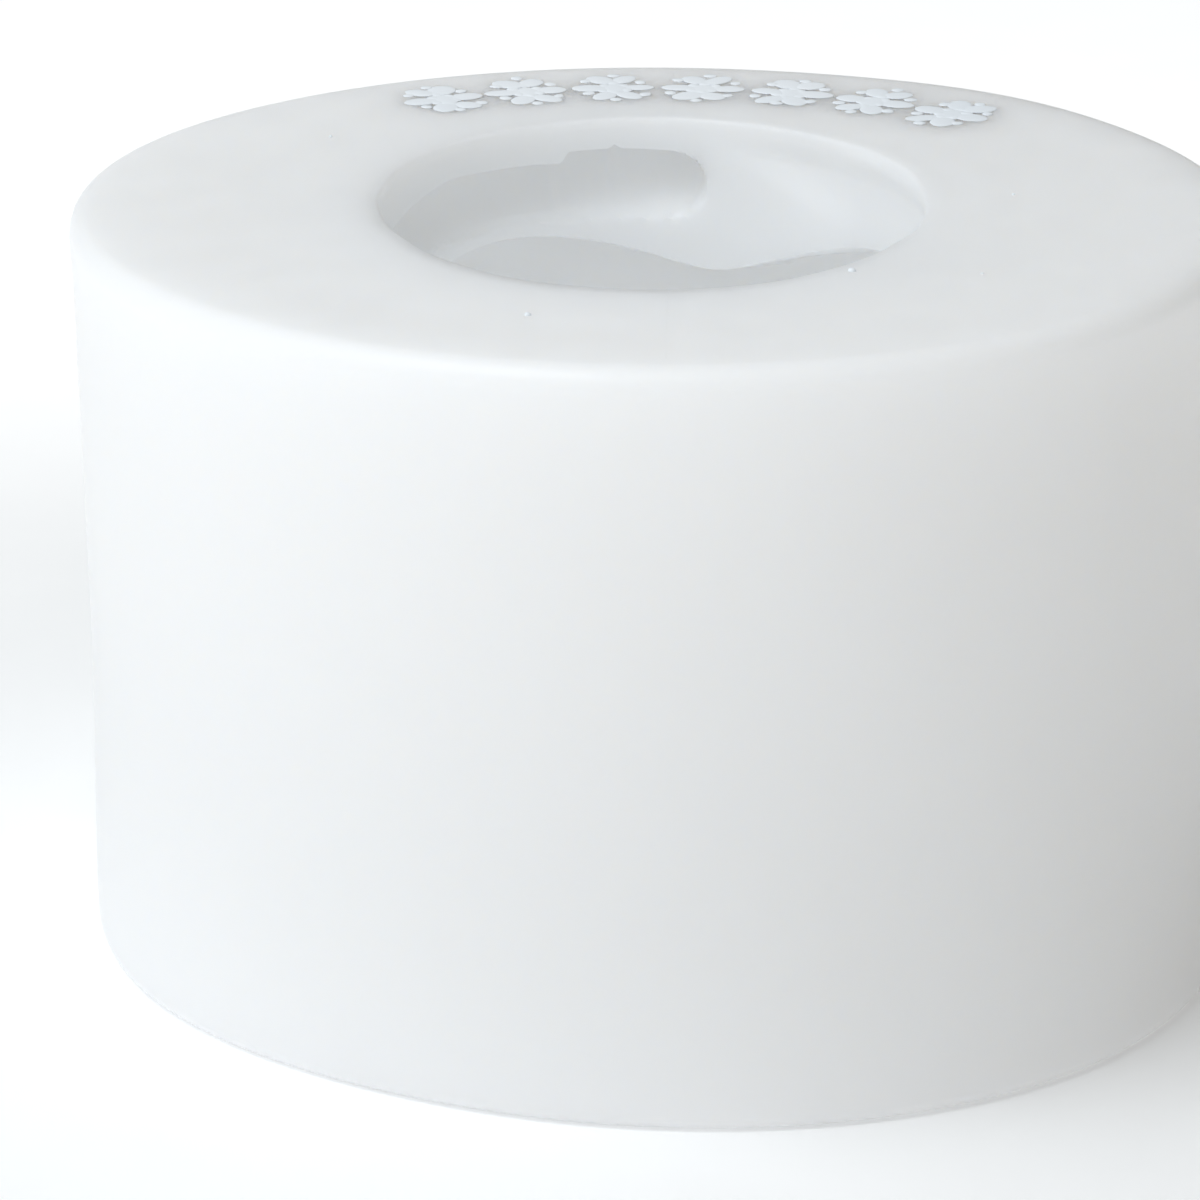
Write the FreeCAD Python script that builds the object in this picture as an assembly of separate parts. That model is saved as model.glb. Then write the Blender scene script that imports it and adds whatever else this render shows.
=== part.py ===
import FreeCAD, Part
import math
import os

# Silicone block mould for resin casting, in millimetres.
# The origin is the middle of the flat base and +Z points up through the pour opening.
# +X is the right half of the mould and -Y is the front wall, which is left uncut as the hinge.

# Block
BASE_RADIUS = 44.6
TOP_RADIUS = 45.0
BLOCK_HEIGHT = 57.7
TOP_SLOPE = 0.032           # rise of the top face towards +X, from a table that wasn't level
BASE_CENTRE_X = 1.46        # the block leans a little, so its base and top are off centre
TOP_CENTRE_X = -1.06
TOP_EDGE_RADIUS = 1.2
BASE_EDGE_RADIUS = 1.2

# Pour opening, an oval neck in the top face
OPENING_CENTRE_X = -1.4
OPENING_CENTRE_Y = 1.3
OPENING_HALF_WIDTH = 21.0
OPENING_HALF_DEPTH = 25.4
LIP_THICKNESS = 3.0

# Petal cavity under the lip
CAVITY_DEPTH = 45.0
CAVITY_MEAN_RADIUS = 30.5
PETALS = 5
PETAL_RELIEF = 0.06         # petal height as a part of the radius
PETAL_TURN = math.pi        # how far the petal wave turns from lip to floor
CAVITY_SECTIONS = 7
SECTION_POINTS = 40

# Cut through the back and the base, and the strip that is left at the front
CUT_GAP = 0.2
HINGE_THICKNESS = 3.0
HINGE_HALF_WIDTH = 1.5
BEYOND = 80.0               # reach of the cutting boxes, past the block on every side

LIP_UNDERSIDE = BLOCK_HEIGHT - LIP_THICKNESS
CAVITY_FLOOR = BLOCK_HEIGHT - CAVITY_DEPTH


def circle_wire(centre, normal, radius):
    """A closed circular wire."""
    return Part.Wire(Part.Circle(centre, normal, radius).toShape())


def rounded(solid, radius, picks_edge):
    """The solid with a fillet on each edge that picks_edge accepts."""
    edges = [edge for edge in solid.Edges if picks_edge(edge)]
    return solid.makeFillet(radius, edges)


def block():
    """The poured drum: a leaning, slightly tapered round with a sloping top face."""
    up = FreeCAD.Vector(0, 0, 1)
    top_normal = FreeCAD.Vector(-TOP_SLOPE, 0, 1)
    base = circle_wire(FreeCAD.Vector(BASE_CENTRE_X, 0, 0), up, BASE_RADIUS)
    top = circle_wire(FreeCAD.Vector(TOP_CENTRE_X, 0, BLOCK_HEIGHT), top_normal, TOP_RADIUS)
    drum = Part.makeLoft([base, top], True, True)
    mid_height = BLOCK_HEIGHT / 2
    drum = rounded(drum, TOP_EDGE_RADIUS, lambda edge: edge.BoundBox.ZMin > mid_height)
    return rounded(drum, BASE_EDGE_RADIUS, lambda edge: edge.BoundBox.ZMax < BASE_EDGE_RADIUS / 2)


def neck():
    """The oval neck of the pour opening, standing well past the top face."""
    centre = FreeCAD.Vector(OPENING_CENTRE_X, OPENING_CENTRE_Y, LIP_UNDERSIDE - LIP_THICKNESS)
    oval = Part.Ellipse(centre, OPENING_HALF_DEPTH, OPENING_HALF_WIDTH)
    oval.rotate(FreeCAD.Placement(centre, FreeCAD.Vector(0, 0, 1), 90))
    face = Part.Face(Part.Wire(oval.toShape()))
    return face.extrude(FreeCAD.Vector(0, 0, 4 * LIP_THICKNESS))


def cavity_radius(depth_share, angle):
    """Radius of the petal cavity, from the lip (depth_share 0) to its floor (1)."""
    swell = math.sin(math.pi * (0.33 + 0.53 * depth_share))
    wave = math.cos(PETALS * angle + PETAL_TURN * depth_share)
    return CAVITY_MEAN_RADIUS * swell * (1 + PETAL_RELIEF * wave)


def cavity_section(depth_share):
    """One closed, petal-waved outline of the cavity."""
    height = LIP_UNDERSIDE + (CAVITY_FLOOR - LIP_UNDERSIDE) * depth_share
    points = []
    for step in range(SECTION_POINTS):
        angle = 2 * math.pi * step / SECTION_POINTS
        radius = cavity_radius(depth_share, angle)
        x = OPENING_CENTRE_X + radius * math.cos(angle)
        y = OPENING_CENTRE_Y + radius * math.sin(angle)
        points.append(FreeCAD.Vector(x, y, height))
    outline = Part.BSplineCurve()
    outline.interpolate(points, PeriodicFlag=True)
    return Part.Wire(outline.toShape())


def petal_cavity():
    """The undercut space that the casting takes, wider than the neck above it."""
    shares = [step / (CAVITY_SECTIONS - 1) for step in range(CAVITY_SECTIONS)]
    return Part.makeLoft([cavity_section(share) for share in shares], True, False)


def side_box(side):
    """Everything on one side of the cut: side is -1 for the left half and 1 for the right."""
    corner_x = CUT_GAP / 2 if side > 0 else -CUT_GAP / 2 - BEYOND
    return Part.makeBox(BEYOND, 2 * BEYOND, 2 * BEYOND, FreeCAD.Vector(corner_x, -BEYOND, -BEYOND))


def hinge_box():
    """The narrow front strip of the wall that the cut doesn't reach."""
    corner = FreeCAD.Vector(-HINGE_HALF_WIDTH, -BEYOND, -BEYOND)
    inner_y = -TOP_RADIUS + HINGE_THICKNESS
    return Part.makeBox(2 * HINGE_HALF_WIDTH, inner_y + BEYOND, 2 * BEYOND, corner)


def mould_half(silicone, side):
    """One half of the mould, with its half of the neck and cavity."""
    return silicone.cut(hinge_box()).common(side_box(side))


def hinge_web(silicone):
    """The uncut strip of front wall that bends when the mould is opened."""
    return silicone.common(hinge_box())


def main():
    silicone = block().cut(neck()).cut(petal_cavity())
    nodes = {
        "mould_half_left": mould_half(silicone, -1),
        "mould_half_right": mould_half(silicone, 1),
        "hinge_web": hinge_web(silicone),
    }
    os.makedirs("parts", exist_ok=True)
    for name, shape in nodes.items():
        solids = shape.Solids
        solid = solids[0] if len(solids) == 1 else Part.makeCompound(solids)
        solid.exportStep("parts/" + name + ".step")
        box = solid.BoundBox
        print(name, len(solids), "solid, valid", solid.isValid(), "volume", round(solid.Volume),
              [round(v, 2) for v in (box.XMin, box.XMax, box.YMin, box.YMax, box.ZMin, box.ZMax)])


main()
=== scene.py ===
import math

import bmesh
import bpy
import numpy as np
from mathutils import Matrix, Vector
from mathutils.bvhtree import BVHTree


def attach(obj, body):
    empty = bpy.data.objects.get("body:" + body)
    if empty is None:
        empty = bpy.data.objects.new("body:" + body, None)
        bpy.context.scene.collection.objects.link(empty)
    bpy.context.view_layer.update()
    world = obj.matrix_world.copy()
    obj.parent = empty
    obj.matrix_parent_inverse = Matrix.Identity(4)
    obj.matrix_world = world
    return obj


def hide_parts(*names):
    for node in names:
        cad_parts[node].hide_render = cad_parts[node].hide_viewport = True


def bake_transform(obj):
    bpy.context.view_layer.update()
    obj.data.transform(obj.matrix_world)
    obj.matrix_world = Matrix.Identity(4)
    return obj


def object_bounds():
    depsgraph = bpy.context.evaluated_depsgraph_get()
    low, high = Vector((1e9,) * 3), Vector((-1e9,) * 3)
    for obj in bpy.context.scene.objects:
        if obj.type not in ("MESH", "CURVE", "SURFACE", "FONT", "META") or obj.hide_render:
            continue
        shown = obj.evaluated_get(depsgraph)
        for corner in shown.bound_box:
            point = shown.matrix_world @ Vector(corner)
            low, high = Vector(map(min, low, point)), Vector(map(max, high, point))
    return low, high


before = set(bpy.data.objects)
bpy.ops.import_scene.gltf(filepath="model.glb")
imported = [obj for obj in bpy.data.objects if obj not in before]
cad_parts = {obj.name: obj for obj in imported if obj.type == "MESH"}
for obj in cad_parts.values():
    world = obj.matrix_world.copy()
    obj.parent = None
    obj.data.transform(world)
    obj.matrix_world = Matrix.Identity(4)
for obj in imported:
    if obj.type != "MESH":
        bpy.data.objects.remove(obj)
cad_low, cad_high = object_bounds()

# Lengths are in millimetres and angles in degrees, and MM turns a length into the frame's metres.
MM = 0.001

# Block, as in the CAD model apart from the rim and the two bulges
BASE_RADIUS = 44.6
TOP_RADIUS = 45.0
BLOCK_HEIGHT = 57.7
TOP_SLOPE = 0.032           # rise of the top face towards +X
BASE_CENTRE_X = 1.46
TOP_CENTRE_X = -1.06
TOP_EDGE_FRONT = 2.0        # the rim is rounder at the front than at the back
TOP_EDGE_BACK = 0.5
BASE_EDGE_RADIUS = 1.2
FOOT_BULGE = (214.0, 24.0, 1.3)     # out of round low on the front left: azimuth, half width, reach
RIM_BULGE = (52.0, 16.0, 0.9)       # and high on the back right
BULGE_FADE = 0.6            # a bulge grows from this share of the way to its own end
WALL_INSET = 0.12           # the wall's mean line lies this far inside the CAD outline
TOP_SAG = 0.18              # the top face dips between its rim and the opening
LIP_BEAD = 0.12             # low bead round the opening
HINGE_THICKNESS = 3.0
HINGE_Y = (HINGE_THICKNESS - TOP_RADIUS) * MM   # the cut ends here, and the hinge is in front of it

# Pour opening and cavity
OPENING_CENTRE = (-1.4, 1.3)
OPENING_HALF_WIDTH = 21.0
OPENING_HALF_DEPTH = 25.4
OPENING_EDGE_RADIUS = 0.35
CAVITY_DEPTH = 45.0

# Cut through the back and the base
CUT_GAP = 0.004             # the closed cut is a hairline
SNAP = 0.02                 # a point this close to the cut's plane is put on it
ON_PLANE = 1e-9             # in metres
NEAR_PLANE = 1e-8
PLATE_INSET = 0.05          # the cut faces lie this far inside the skin
PLATE_THICKNESS = 0.15

# Mesh density
AZIMUTHS = 540
BASE_EDGE_RINGS = 4
WALL_RINGS = 22
TOP_EDGE_RINGS = 8
TOP_RINGS = 18
BASE_RINGS = 8
OPENING_EDGE_RINGS = 3
LIP_RINGS = 8
RIDGE_RINGS = 24
SHOULDER_RINGS = 14
DEEP_RINGS = 42
FLOOR_RINGS = 8
SHOULDER_DEPTH = 18.0       # rings are close together down to here
RING_CROWDING = 1.35        # and crowd towards the edge that they start from
SMOOTH_ANGLE = 50           # an edge sharper than this stays crisp

# Frosted rosettes on the back of the top face: a plain ornament in place of writing
MARK_AZIMUTHS = [118.0 - 11.1 * step for step in range(7)]
MARK_RING_RADIUS = 38.0
MARK_HALF_WIDTH = 2.0
MARK_HALF_LENGTH = 2.9
MARK_PETALS = 6
PETAL_LUMP = (1.05, 1.5, 0.09)      # half width, half length and height of a petal
GRAIN_LUMP = (0.5, 0.5, 0.10)

# Air bubbles that stand on the surface: X, Y and radius
BUBBLES = [
    (13.5, -18.7, 0.30),
    (-10.0, -30.3, 0.26),
    (26.5, 4.1, 0.14),
    (23.1, -18.5, 0.13),
    (-27.4, 21.0, 0.16),
]
BUBBLE_FLATNESS = 0.8
SEED = 7


def smooth(value, low, high):
    """0 below low, 1 above high and an even S-shaped rise between them."""
    share = np.clip((value - low) / (high - low), 0, 1)
    return share * share * (3 - 2 * share)


def angle_from(azimuth, middle):
    """Signed angle from middle to each azimuth, from -180 to 180."""
    return (azimuth - middle + 180) % 360 - 180


def waves(azimuth, terms):
    """A slow unevenness round the block: each term is (height, turns, phase)."""
    total = np.zeros_like(azimuth)
    for height, turns, phase in terms:
        total += height * np.sin(np.radians(turns * azimuth + phase))
    return total


def top_height(x):
    """Height of the sloping top face."""
    return BLOCK_HEIGHT + TOP_SLOPE * (x - TOP_CENTRE_X)


def bulge(azimuth, middle, half_width, reach):
    """A bell-shaped rise of height reach, round the azimuth of its middle."""
    return reach * np.exp(-(angle_from(azimuth, middle) / half_width) ** 2)


def outline(azimuth, share, inset):
    """X and Y of the block's outside at a share of its height, inset from the wall."""
    centre_x = BASE_CENTRE_X + (TOP_CENTRE_X - BASE_CENTRE_X) * share
    radius = BASE_RADIUS + (TOP_RADIUS - BASE_RADIUS) * share - inset
    radius = radius + bulge(azimuth, *FOOT_BULGE) * smooth(1 - share, BULGE_FADE, 1.0)
    radius = radius + bulge(azimuth, *RIM_BULGE) * smooth(share, BULGE_FADE, 1.0)
    return centre_x + radius * np.cos(np.radians(azimuth)), radius * np.sin(np.radians(azimuth))


def opening_radius(azimuth):
    """Distance from the opening's centre to the neck wall."""
    across = OPENING_HALF_DEPTH * np.cos(np.radians(azimuth))
    along = OPENING_HALF_WIDTH * np.sin(np.radians(azimuth))
    return OPENING_HALF_WIDTH * OPENING_HALF_DEPTH / np.hypot(across, along)


# ---------------------------------------------------------------- cavity

# Upper petal hollows under the lip: first azimuth, last azimuth, how far they reach outwards
UPPER_HOLLOWS = [(80.0, 165.0, 5.0), (171.0, 252.0, 4.5), (258.0, 338.0, 4.8)]
UPPER_END_RADIUS = 2.9
RIDGE_DEPTH = 8.4
LIP_AZIMUTHS = [0, 78, 82, 97, 106.2, 107.6, 113, 135, 150, 160, 180, 270, 360]
LIP_DEPTHS = [2.6, 2.6, 2.7, 2.35, 2.4, 3.35, 3.15, 2.75, 3.6, 4.3, 3.2, 2.9, 2.6]
LIP_NICK_AZIMUTH = 97.3
LIP_NICK_DEPTH = 0.35
LIP_NICK_HALF_WIDTH = 0.7

# The petal on the right of the neck, whose edge turns back by RIGHT_PETAL_TURN on its way up
RIGHT_PETAL_EDGE = 58
RIGHT_PETAL_TURN = 24
RIGHT_PETAL_HALF_WIDTH = 45
RIGHT_PETAL_REACH = 0.8

# Lower tiers of petals: lowest edge, rise of each arch, tilt of the tier, arches round,
# azimuth of the first arch, reach and length
VALLEY_ROUNDING = 0.2
LOWER_TIERS = [
    (14.4, 5.2, 1.4, 4, 33.0, 4.6, 9.0),
    (23.5, 4.2, 0.5, 5, 10.0, 4.0, 8.5),
    (31.5, 3.4, 0.4, 3, 50.0, 3.6, 8.0),
    (38.5, 2.6, 0.2, 3, 110.0, 3.0, 7.0),
]
CHALICE_RADIUS = 27.5
CHALICE_FROM, CHALICE_TO = 9, 22    # depths between which the neck turns into the chalice
FLOOR_DROP = 1.6
FLOOR_RIPPLE = 0.5


def lip_depth(azimuth):
    """Depth of the lip's lower edge, with the step and the nick left by trimming."""
    nick = bulge(azimuth, LIP_NICK_AZIMUTH, LIP_NICK_HALF_WIDTH, LIP_NICK_DEPTH)
    return np.interp(azimuth % 360, LIP_AZIMUTHS, LIP_DEPTHS) - nick


def upper_hollow(azimuth, depth, first, last, reach):
    """Outward reach of one upper petal hollow: sharp under the lip, sloping back to the ridge."""
    mm_per_degree = math.radians(1) * (OPENING_HALF_WIDTH + OPENING_HALF_DEPTH) / 2
    lip = lip_depth(azimuth)
    half_height = (RIDGE_DEPTH - lip) / 2
    half_length = (last - first) / 2 * mm_per_degree
    along = np.abs(angle_from(azimuth, (first + last) / 2)) * mm_per_degree
    down = np.abs(depth - lip - half_height)
    corner = np.minimum(UPPER_END_RADIUS, half_height)
    past_end = along - half_length + corner
    past_edge = down - half_height + corner
    outside = np.hypot(np.maximum(past_end, 0), np.maximum(past_edge, 0))
    inside = np.minimum(np.maximum(past_end, past_edge), 0)
    distance = corner - outside - inside
    slope_back = np.clip(1 - (depth - lip) / (2 * half_height), 0, 1) ** 0.8
    return reach * smooth(distance, 0, 0.65) * slope_back


def right_petal(azimuth, depth):
    """The broad shallow petal on the right of the neck, with a soft crescent edge."""
    edge = RIGHT_PETAL_EDGE + RIGHT_PETAL_TURN * smooth(-depth, -7.5, -1.0)
    off_middle = np.abs(angle_from(azimuth, edge - RIGHT_PETAL_HALF_WIDTH))
    inside = smooth(-off_middle, -RIGHT_PETAL_HALF_WIDTH, -27)
    return RIGHT_PETAL_REACH * inside * smooth(depth, 0.8, 3.0)


def tier_edge(azimuth, lowest, rise, tilt, arches, first):
    """Depth of a tier's scalloped upper edge."""
    arch = rise * np.hypot(np.cos(np.radians(arches / 2 * (azimuth - first))), VALLEY_ROUNDING)
    return lowest - arch - tilt * np.cos(np.radians(azimuth - first))


def lower_tier(azimuth, depth, edge_shape, reach, length):
    """One tier of petals: its edge overhangs a hollow, which slopes back inwards."""
    below = depth - tier_edge(azimuth, *edge_shape)
    slope_back = np.clip(1 - below / length, 0, 1) ** 0.9
    return reach * smooth(below, 0, 1.1) * slope_back


def cavity_radius(azimuth, depth):
    """Distance from the opening's centre to the cavity wall."""
    neck = opening_radius(azimuth)
    chalice = CHALICE_RADIUS * np.sin(np.pi * (0.33 + 0.53 * depth / CAVITY_DEPTH))
    radius = neck + (chalice - neck) * smooth(depth, CHALICE_FROM, CHALICE_TO)
    for hollow in UPPER_HOLLOWS:
        radius = radius + upper_hollow(azimuth, depth, *hollow)
    radius = radius + right_petal(azimuth, depth)
    for *edge_shape, reach, length in LOWER_TIERS:
        radius = radius + lower_tier(azimuth, depth, edge_shape, reach, length)
    return radius


# ---------------------------------------------------------------- block mesh


def ring(x, y, z):
    """Points of one ring, a row for each azimuth."""
    return np.stack([x, y, z], axis=1)


def top_edge_radius(azimuth):
    """Radius of the rim's rounding."""
    frontness = smooth(-np.sin(np.radians(azimuth)), -0.5, 0.6)
    return TOP_EDGE_BACK + (TOP_EDGE_FRONT - TOP_EDGE_BACK) * frontness


def wall_inset(azimuth, share):
    """Shallow hand-poured unevenness of the outer wall, fading out at both edges."""
    fade = smooth(share, 0.0, 0.15) * smooth(1 - share, 0.0, 0.1)
    slow = waves(azimuth + 40 * share, [(0.10, 2, 20), (0.06, 5, 80), (0.03, 11, 10)])
    return WALL_INSET + fade * slow


def outside_rings(azimuth):
    """Rings from the middle of the base up the wall and over the top edge."""
    rings = []
    flat_radius = BASE_RADIUS - BASE_EDGE_RADIUS
    for step in range(1, BASE_RINGS + 1):
        inset = BASE_RADIUS - flat_radius * step / BASE_RINGS
        x, y = outline(azimuth, 0, inset)
        rings.append(ring(x, y, np.zeros_like(x)))
    for step in range(1, BASE_EDGE_RINGS + 1):
        turn = math.radians(90 * step / (BASE_EDGE_RINGS + 1))
        x, y = outline(azimuth, 0, BASE_EDGE_RADIUS * (1 - math.sin(turn)) + WALL_INSET)
        rings.append(ring(x, y, np.full_like(x, BASE_EDGE_RADIUS * (1 - math.cos(turn)))))
    radius = top_edge_radius(azimuth)
    for step in range(WALL_RINGS + 1):
        share = step / WALL_RINGS
        x, y = outline(azimuth, share, wall_inset(azimuth, share))
        low, high = BASE_EDGE_RADIUS, top_height(x) - radius
        rings.append(ring(x, y, low + (high - low) * share))
    for step in range(1, TOP_EDGE_RINGS + 1):
        turn = math.radians(90 * step / TOP_EDGE_RINGS)
        x, y = outline(azimuth, 1, radius * (1 - math.cos(turn)) + WALL_INSET)
        rings.append(ring(x, y, top_height(x) - radius * (1 - math.sin(turn))))
    return rings


def opening_point(azimuth, radius):
    """X and Y at a distance from the opening's centre."""
    x = OPENING_CENTRE[0] + radius * np.cos(np.radians(azimuth))
    y = OPENING_CENTRE[1] + radius * np.sin(np.radians(azimuth))
    return x, y


def top_rings(azimuth, rim):
    """Rings across the top face, from the rounded rim in to the opening's edge."""
    rings = []
    uneven = waves(azimuth, [(0.12, 3, 30), (0.08, 7, 200), (0.05, 16, 90)])
    edge_x, edge_y = opening_point(azimuth, opening_radius(azimuth) + uneven + OPENING_EDGE_RADIUS)
    for step in range(1, TOP_RINGS + 1):
        share = step / TOP_RINGS
        x = rim[:, 0] + (edge_x - rim[:, 0]) * share
        y = rim[:, 1] + (edge_y - rim[:, 1]) * share
        sag = TOP_SAG * math.sin(math.pi * share) ** 2
        bead = LIP_BEAD * smooth(share, 0.9, 1.0)
        rings.append(ring(x, y, top_height(x) - sag + bead))
    for step in range(1, OPENING_EDGE_RINGS + 1):
        turn = math.radians(90 * step / OPENING_EDGE_RINGS)
        outward = OPENING_EDGE_RADIUS * (1 - math.sin(turn))
        drop = OPENING_EDGE_RADIUS * (1 - math.cos(turn))
        x, y = opening_point(azimuth, opening_radius(azimuth) + uneven + outward)
        rings.append(ring(x, y, top_height(x) + LIP_BEAD - drop))
    return rings


def ring_depths(azimuth):
    """Depth of each cavity ring. Rings follow the lip's edge and the first tier's edge exactly."""
    start = np.full_like(azimuth, OPENING_EDGE_RADIUS + 0.15)
    lip = lip_depth(azimuth)
    shoulder = tier_edge(azimuth, *LOWER_TIERS[0][:5])
    below = np.full_like(azimuth, SHOULDER_DEPTH)
    floor = np.full_like(azimuth, CAVITY_DEPTH)
    stretches = [
        (start, lip, LIP_RINGS), (lip, shoulder, RIDGE_RINGS),
        (shoulder, below, SHOULDER_RINGS), (below, floor, DEEP_RINGS)]
    depths = []
    for first, last, count in stretches:
        for step in range(count):
            share = step / count
            follows_an_edge = first is lip or first is shoulder
            if follows_an_edge:
                share = share ** RING_CROWDING
            depths.append(first + (last - first) * share)
    return depths + [floor]


def cavity_rings(azimuth):
    """Rings down the neck and the petals to the cavity's floor."""
    rings = []
    for depth in ring_depths(azimuth):
        x, y = opening_point(azimuth, cavity_radius(azimuth, depth))
        slope = 1 - depth / CAVITY_DEPTH
        z = BLOCK_HEIGHT + TOP_SLOPE * (x - TOP_CENTRE_X) * slope - depth
        rings.append(ring(x, y, z))
    floor = rings[-1]
    centre = floor.mean(axis=0)
    for step in range(1, FLOOR_RINGS + 1):
        share = 1 - step / (FLOOR_RINGS + 1)
        points = centre + (floor - centre) * share
        points[:, 2] -= FLOOR_DROP * (1 - share ** 2)
        points[:, 2] += FLOOR_RIPPLE * np.sin(np.radians(3 * azimuth) + 9 * share) * share
        rings.append(points)
    return rings


def closed_mesh(rings):
    """A closed surface through rings of equal count, with a fan at each end."""
    count = len(rings[0])
    work = bmesh.new()
    points = np.concatenate(rings) * MM
    vertices = [work.verts.new(point) for point in points]
    bottom = work.verts.new(np.mean(rings[0], axis=0) * MM)
    top = work.verts.new(np.mean(rings[-1], axis=0) * MM)
    last = (len(rings) - 1) * count
    for column in range(count):
        after = (column + 1) % count
        for start in range(0, last, count):
            corners = (start + column, start + after, start + count + after, start + count + column)
            work.faces.new([vertices[corner] for corner in corners])
        work.faces.new((vertices[after], vertices[column], bottom))
        work.faces.new((vertices[last + column], vertices[last + after], top))
    return work


def everything_in(work):
    """All the geometry of a bmesh."""
    return work.verts[:] + work.edges[:] + work.faces[:]


def linked_object(name, work):
    """Turns a bmesh into an object of the scene."""
    mesh = bpy.data.meshes.new(name)
    work.to_mesh(mesh)
    work.free()
    thing = bpy.data.objects.new(name, mesh)
    bpy.context.scene.collection.objects.link(thing)
    return thing


def shade_smooth(work, sharp_angle):
    """Smooth shading that keeps edges sharper than sharp_angle."""
    for face in work.faces:
        face.smooth = True
    for edge in work.edges:
        edge.smooth = edge.calc_face_angle(0) < math.radians(sharp_angle)


def bisect(work, geometry, place, normal, **clear):
    """Cuts geometry along a plane, and may clear what lies on one side of it."""
    bmesh.ops.bisect_plane(
        work, geom=geometry, plane_co=place, plane_no=normal, dist=ON_PLANE, **clear)


def split_along_cut(work):
    """Parts the surface along the cut, and leaves it whole at the front hinge."""
    for vertex in work.verts:
        if abs(vertex.co.x) < SNAP * MM:
            vertex.co.x = 0
    bisect(work, everything_in(work), (0, 0, 0), (1, 0, 0))
    beside = set()
    for face in work.faces:
        if min(abs(vertex.co.x) for vertex in face.verts) < NEAR_PLANE:
            beside.update([face, *face.edges, *face.verts])
    bisect(work, list(beside), (0, HINGE_Y, 0), (0, 1, 0))

    def on_cut(edge):
        on_plane = all(abs(vertex.co.x) < NEAR_PLANE for vertex in edge.verts)
        return on_plane and all(vertex.co.y > HINGE_Y - NEAR_PLANE for vertex in edge.verts)

    parted = bmesh.ops.split_edges(work, edges=[edge for edge in work.edges if on_cut(edge)])
    for edge in parted["edges"]:
        for vertex in edge.verts:
            sides = [face.calc_center_median().x for face in vertex.link_faces]
            if min(sides) * max(sides) > 0:
                vertex.co.x = math.copysign(CUT_GAP / 2 * MM, sides[0])


def cut_section(whole, hinge_side):
    """The block's section at the cut: the part that is cut through, or the hinge's part."""
    work = whole.copy()
    bisect(work, everything_in(work), (0, 0, 0), (1, 0, 0), clear_inner=True)
    rim = [edge for edge in work.edges if edge.is_boundary]
    filled = bmesh.ops.holes_fill(work, edges=rim, sides=0)["faces"]
    kept = set(filled)
    others = [face for face in work.faces if face not in kept]
    bmesh.ops.delete(work, geom=others, context="FACES")
    bisect(
        work, everything_in(work), (0, HINGE_Y, 0), (0, 1, 0),
        clear_inner=not hinge_side, clear_outer=hinge_side)
    inset = bmesh.ops.inset_region(
        work, faces=work.faces[:], thickness=PLATE_INSET * MM,
        use_boundary=True, use_even_offset=False)
    bmesh.ops.delete(work, geom=inset["faces"], context="FACES")
    bmesh.ops.triangulate(work, faces=work.faces[:])
    return work


def thickened(work, first_x, last_x):
    """The flat section made into a plate between two X places."""
    for vertex in work.verts:
        vertex.co.x = first_x * MM
    made = bmesh.ops.extrude_face_region(work, geom=work.faces[:])
    moved = [item for item in made["geom"] if isinstance(item, bmesh.types.BMVert)]
    bmesh.ops.translate(work, vec=((last_x - first_x) * MM, 0, 0), verts=moved)
    bmesh.ops.recalc_face_normals(work, faces=work.faces[:])
    return work


def make_block():
    """The silicone block with its cavity, its two cut faces and the strip that joins them."""
    azimuth = np.arange(AZIMUTHS) * 360 / AZIMUTHS
    rings = outside_rings(azimuth)
    rings += top_rings(azimuth, rings[-1])
    rings += cavity_rings(azimuth)
    whole = closed_mesh(rings)
    left = thickened(cut_section(whole, False), -PLATE_INSET, -PLATE_INSET - PLATE_THICKNESS)
    right = thickened(cut_section(whole, False), PLATE_INSET, PLATE_INSET + PLATE_THICKNESS)
    strip = thickened(cut_section(whole, True), -PLATE_INSET, PLATE_INSET)
    split_along_cut(whole)
    shade_smooth(whole, SMOOTH_ANGLE)
    names = ("silicone_block", "cut_face_left", "cut_face_right", "hinge_strip")
    return [linked_object(name, work) for name, work in zip(names, (whole, left, right, strip))]


# ---------------------------------------------------------------- marks and bubbles


def surface_height(tree, x, y):
    """Height of the top face at a place, in millimetres."""
    hit = tree.ray_cast(Vector((x * MM, y * MM, 0.1)), Vector((0, 0, -1)))[0]
    return hit.z / MM


def add_lump(work, place, size, turn):
    """A low round lump, half sunk in the surface. Its length points along turn."""
    made = bmesh.ops.create_icosphere(work, subdivisions=3, radius=1.0)["verts"]
    width, length, height = size
    shape = Matrix.Diagonal((length * MM, width * MM, height * MM, 1))
    lay = Matrix.Rotation(turn, 4, "Z")
    tilt = Matrix.Rotation(-math.atan(TOP_SLOPE), 4, "Y")
    move = Matrix.Translation(Vector(place) * MM)
    bmesh.ops.transform(work, matrix=move @ tilt @ lay @ shape, verts=made)


def make_mark(name, azimuth, tree, random):
    """One frosted rosette: petals round a middle, with small grains between and on them."""
    work = bmesh.new()
    turn = math.radians(azimuth)

    def place_lump(share, around, size):
        radial = MARK_RING_RADIUS + MARK_HALF_LENGTH * share * math.cos(around)
        tangent = MARK_HALF_WIDTH * share * math.sin(around)
        x = TOP_CENTRE_X + radial * math.cos(turn) - tangent * math.sin(turn)
        y = radial * math.sin(turn) + tangent * math.cos(turn)
        scaled = tuple(length * random.uniform(0.85, 1.15) for length in size)
        add_lump(work, (x, y, surface_height(tree, x, y)), scaled, turn + around)

    place_lump(0, 0, PETAL_LUMP)
    for step in range(MARK_PETALS):
        around = 2 * math.pi * (step + 0.5) / MARK_PETALS
        place_lump(1, around, PETAL_LUMP)
        place_lump(random.uniform(0.4, 0.6), around + 0.5, GRAIN_LUMP)
        place_lump(random.uniform(1.25, 1.45), around + 0.45, GRAIN_LUMP)
    split_along_cut(work)
    shade_smooth(work, 180)
    return linked_object(name, work)


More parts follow.
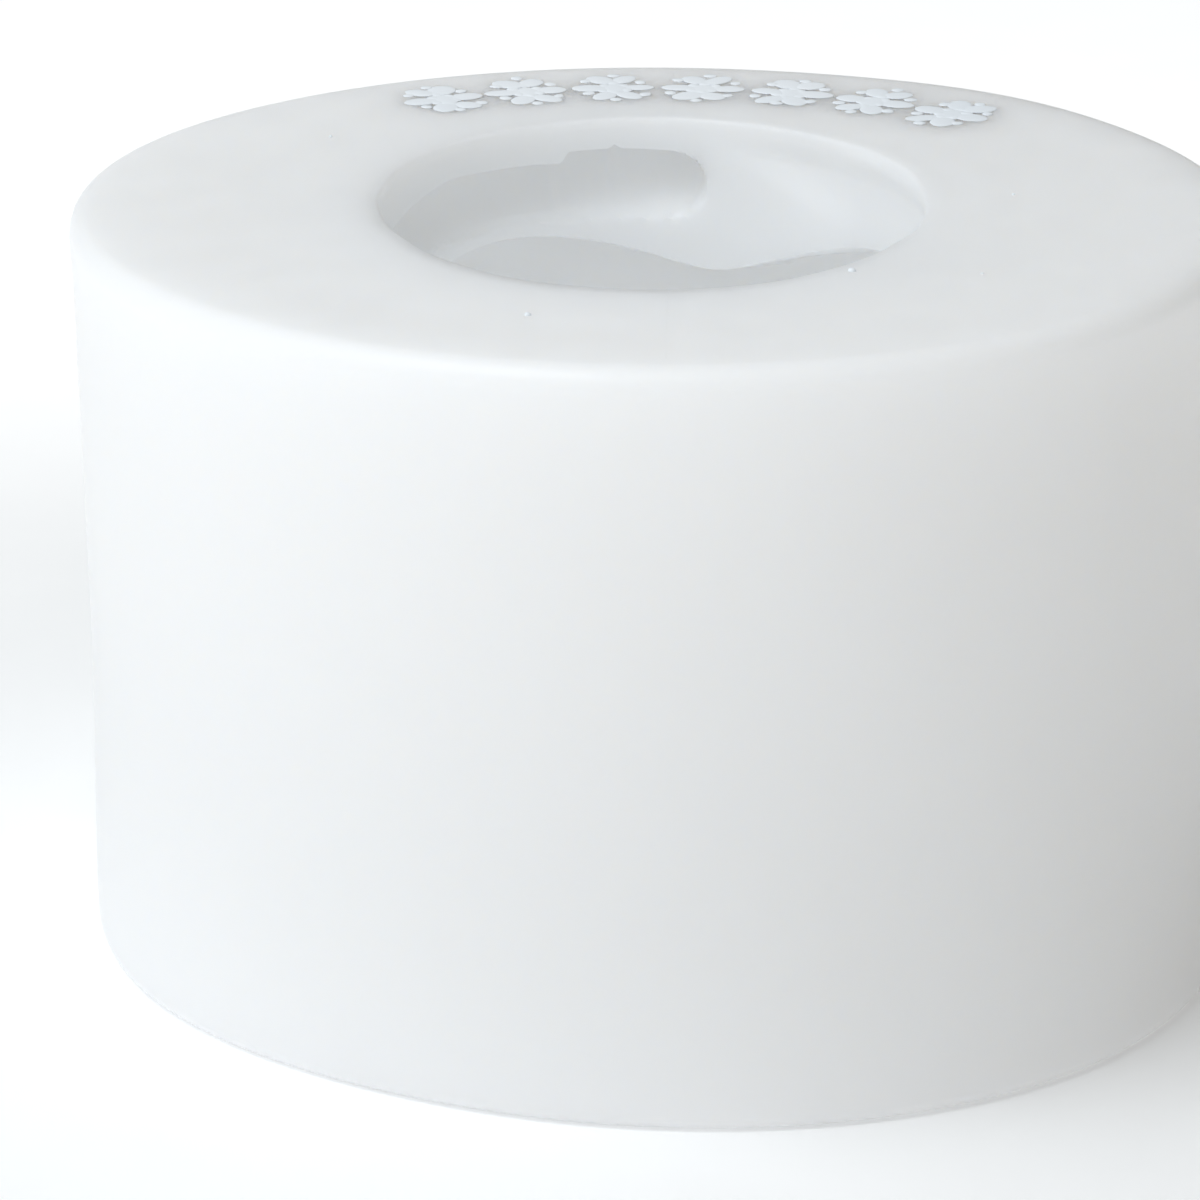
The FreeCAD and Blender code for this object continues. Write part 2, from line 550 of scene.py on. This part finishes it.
def make_bubbles(name, side, tree):
    """The bubbles on one half."""
    work = bmesh.new()
    for x, y, radius in BUBBLES:
        if x * side > 0:
            size = (radius, radius, BUBBLE_FLATNESS * radius)
            add_lump(work, (x, y, surface_height(tree, x, y)), size, 0)
    shade_smooth(work, 180)
    return linked_object(name, work)


# ---------------------------------------------------------------- materials


def new_material(name):
    """A material with its node tree and its shader."""
    material = bpy.data.materials.new(name)
    material.use_nodes = True
    tree = material.node_tree
    return material, tree, tree.nodes["Principled BSDF"]


def noise(tree, scale, detail, roughness=0.5):
    """Object-space noise, with scale in cycles per metre."""
    place = tree.nodes.new("ShaderNodeTexCoord")
    texture = tree.nodes.new("ShaderNodeTexNoise")
    texture.inputs["Scale"].default_value = scale
    texture.inputs["Detail"].default_value = detail
    texture.inputs["Roughness"].default_value = roughness
    tree.links.new(place.outputs["Object"], texture.inputs["Vector"])
    return texture


def ramp(tree, source, low, high, first, last):
    """A colour ramp from first to last as source goes from low to high."""
    node = tree.nodes.new("ShaderNodeValToRGB")
    node.color_ramp.elements[0].position = low
    node.color_ramp.elements[1].position = high
    node.color_ramp.elements[0].color = (*first, 1)
    node.color_ramp.elements[1].color = (*last, 1)
    tree.links.new(source, node.inputs["Fac"])
    return node


def silicone_material(name, pale, deep, depth_mm, roughness):
    """Milky silicone: light goes in, scatters and comes out softly, except where depth_mm is 0."""
    material, tree, shader = new_material(name)
    cloud = noise(tree, 45, 3)
    colour = ramp(tree, cloud.outputs["Fac"], 0.35, 0.65, deep, pale)
    tree.links.new(colour.outputs["Color"], shader.inputs["Base Color"])
    shader.subsurface_method = "RANDOM_WALK"
    shader.inputs["Subsurface Weight"].default_value = 1.0 if depth_mm > 0 else 0.0
    shader.inputs["Subsurface Radius"].default_value = (1.0, 0.96, 0.9)
    shader.inputs["Subsurface Scale"].default_value = depth_mm * MM
    shader.inputs["IOR"].default_value = 1.41
    smear = noise(tree, 260, 4)
    rough_low, rough_high = (roughness - 0.06,) * 3, (roughness + 0.08,) * 3
    rough = ramp(tree, smear.outputs["Fac"], 0.3, 0.7, rough_low, rough_high)
    tree.links.new(rough.outputs["Color"], shader.inputs["Roughness"])
    grain = noise(tree, 1800, 5, 0.6)
    bump = tree.nodes.new("ShaderNodeBump")
    bump.inputs["Strength"].default_value = 0.12
    bump.inputs["Distance"].default_value = 0.05 * MM
    tree.links.new(grain.outputs["Fac"], bump.inputs["Height"])
    tree.links.new(bump.outputs["Normal"], shader.inputs["Normal"])
    return material


def glowing_floor_material():
    """Matt white paper with a painted glow: the floor emits light, weakly next to the block and more
    strongly away from it, so that it stays pale.
    """
    material, tree, shader = new_material("studio_floor")
    paper = noise(tree, 90, 4)
    colour = ramp(tree, paper.outputs["Fac"], 0.3, 0.7, (0.95, 0.95, 0.95), (0.97, 0.97, 0.97))
    tree.links.new(colour.outputs["Color"], shader.inputs["Base Color"])
    shader.inputs["Roughness"].default_value = 0.9
    shader.inputs["Specular IOR Level"].default_value = 0.1
    shader.inputs["Emission Color"].default_value = (1.0, 1.0, 1.0, 1)
    # Painted glow: emission strength rises with distance from the block's middle, and this light
    # also reaches the block's lower walls.
    place = tree.nodes.new("ShaderNodeTexCoord")
    distance = tree.nodes.new("ShaderNodeVectorMath")
    distance.operation = "LENGTH"
    tree.links.new(place.outputs["Object"], distance.inputs[0])
    glow = tree.nodes.new("ShaderNodeMapRange")
    glow.interpolation_type = "SMOOTHSTEP"
    glow.inputs["From Min"].default_value = GLOW_START
    glow.inputs["From Max"].default_value = GLOW_END
    glow.inputs["To Min"].default_value = NEAR_GLOW
    glow.inputs["To Max"].default_value = FAR_GLOW
    tree.links.new(distance.outputs["Value"], glow.inputs["Value"])
    tree.links.new(glow.outputs["Result"], shader.inputs["Emission Strength"])
    return material


# ---------------------------------------------------------------- stage, light and camera

CAMERA_PLACE = Vector((-0.96, -429.2, 172.4)) * MM
CAMERA_AIM = Vector((-4.33, 0.0, 25.47)) * MM
CAMERA_ROLL = 2.02
CAMERA_LENS = 173.3
SENSOR_WIDTH = 36.0

# Light, with places and sizes in metres
BRIGHT_SIDE = (-0.86, -0.34, 0.32)
BRIGHT_SIDE_COLOUR = (0.92, 0.965, 1.0)
DIM_SIDE_COLOUR = (0.092, 0.056, 0.008)
ROOM_STRENGTH = 0.77
WINDOW_PLACE = (-0.17, -0.13, 0.49)
WINDOW_AIM = (0, 0, 0.03)
WINDOW_SIZE = 0.34
WINDOW_WATTS = 1.15
WINDOW_COLOUR = (0.93, 0.97, 1.0)
GLOW_START = 0.065            # the floor's painted glow grows from this distance to GLOW_END
GLOW_END = 0.20
NEAR_GLOW = 0.09
FAR_GLOW = 0.42
FLOOR_RADIUS = 6.0
LIGHT_BOUNCES = 16            # a white hollow needs many


def make_camera():
    """The camera in front of the mould, looking down at it by about 19 degrees."""
    data = bpy.data.cameras.new("camera")
    data.lens = CAMERA_LENS
    data.sensor_width = SENSOR_WIDTH
    data.clip_start = 0.01
    camera = bpy.data.objects.new("camera", data)
    bpy.context.scene.collection.objects.link(camera)
    look = (CAMERA_AIM - CAMERA_PLACE).to_track_quat("-Z", "Y").to_matrix().to_4x4()
    roll = Matrix.Rotation(math.radians(CAMERA_ROLL), 4, "Z")
    camera.matrix_world = Matrix.Translation(CAMERA_PLACE) @ look @ roll
    bpy.context.scene.camera = camera


def make_floor():
    """A wide round floor under the mould."""
    mesh = bpy.data.meshes.new("floor")
    work = bmesh.new()
    bmesh.ops.create_circle(work, cap_ends=True, radius=FLOOR_RADIUS, segments=96)
    work.to_mesh(mesh)
    work.free()
    floor = bpy.data.objects.new("floor", mesh)
    floor.location.z = cad_low.z
    bpy.context.scene.collection.objects.link(floor)
    floor.data.materials.append(glowing_floor_material())


def area_light(name, place, aim, size, watts, colour):
    """A round soft light at place, turned to aim."""
    data = bpy.data.lights.new(name, "AREA")
    data.shape = "DISK"
    data.size = size
    data.energy = watts
    data.color = colour
    light = bpy.data.objects.new(name, data)
    light.location = place
    light.rotation_euler = (Vector(aim) - Vector(place)).to_track_quat("-Z", "Y").to_euler()
    bpy.context.scene.collection.objects.link(light)


def make_light():
    """A pale room, brighter and cooler on the window's side, with one large soft window."""
    world = bpy.data.worlds.new("studio")
    bpy.context.scene.world = world
    world.use_nodes = True
    tree = world.node_tree
    place = tree.nodes.new("ShaderNodeTexCoord")
    towards = tree.nodes.new("ShaderNodeVectorMath")
    towards.operation = "DOT_PRODUCT"
    towards.inputs[1].default_value = Vector(BRIGHT_SIDE).normalized()
    tree.links.new(place.outputs["Generated"], towards.inputs[0])
    share = tree.nodes.new("ShaderNodeMapRange")
    share.inputs["From Min"].default_value = -1.0
    share.inputs["From Max"].default_value = 1.0
    tree.links.new(towards.outputs["Value"], share.inputs["Value"])
    colour = ramp(tree, share.outputs["Result"], 0.0, 1.0, DIM_SIDE_COLOUR, BRIGHT_SIDE_COLOUR)
    background = tree.nodes["Background"]
    tree.links.new(colour.outputs["Color"], background.inputs["Color"])
    background.inputs["Strength"].default_value = ROOM_STRENGTH
    area_light("window", WINDOW_PLACE, WINDOW_AIM, WINDOW_SIZE, WINDOW_WATTS, WINDOW_COLOUR)
    scene = bpy.context.scene
    scene.view_settings.view_transform = "Standard"
    scene.cycles.max_bounces = LIGHT_BOUNCES
    scene.cycles.diffuse_bounces = LIGHT_BOUNCES


make_camera()
make_light()
make_floor()

block, left_face, right_face, strip = make_block()
milky = silicone_material("milky_silicone", (0.978, 0.982, 0.986), (0.968, 0.973, 0.978), 10.0, 0.42)
cut = silicone_material("cut_silicone", (0.97, 0.975, 0.98), (0.94, 0.95, 0.96), 0, 0.5)
block.data.materials.append(milky)
for piece in (left_face, right_face, strip):
    piece.data.materials.append(cut)
for piece in (block, strip):
    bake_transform(piece)
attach(left_face, "left_half")
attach(right_face, "right_half")
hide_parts("mould_half_left", "mould_half_right", "hinge_web")

frost = silicone_material("frosted_silicone", (0.91, 0.94, 0.97), (0.86, 0.90, 0.94), 0, 0.75)
surface = BVHTree.FromObject(block, bpy.context.evaluated_depsgraph_get())
random = np.random.default_rng(SEED)
for number, azimuth in enumerate(MARK_AZIMUTHS, start=1):
    mark = make_mark(f"frosted_mark_{number}", azimuth, surface, random)
    mark.data.materials.append(frost)
    across = [vertex.co.x for vertex in mark.data.vertices]
    if min(across) < 0 < max(across):
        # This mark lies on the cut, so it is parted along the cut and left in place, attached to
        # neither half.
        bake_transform(mark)
    else:
        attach(mark, "left_half" if azimuth > 90 else "right_half")
for name, side in (("left", -1), ("right", 1)):
    bubbles = make_bubbles(f"bubbles_{name}", side, surface)
    bubbles.data.materials.append(frost)
    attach(bubbles, f"{name}_half")
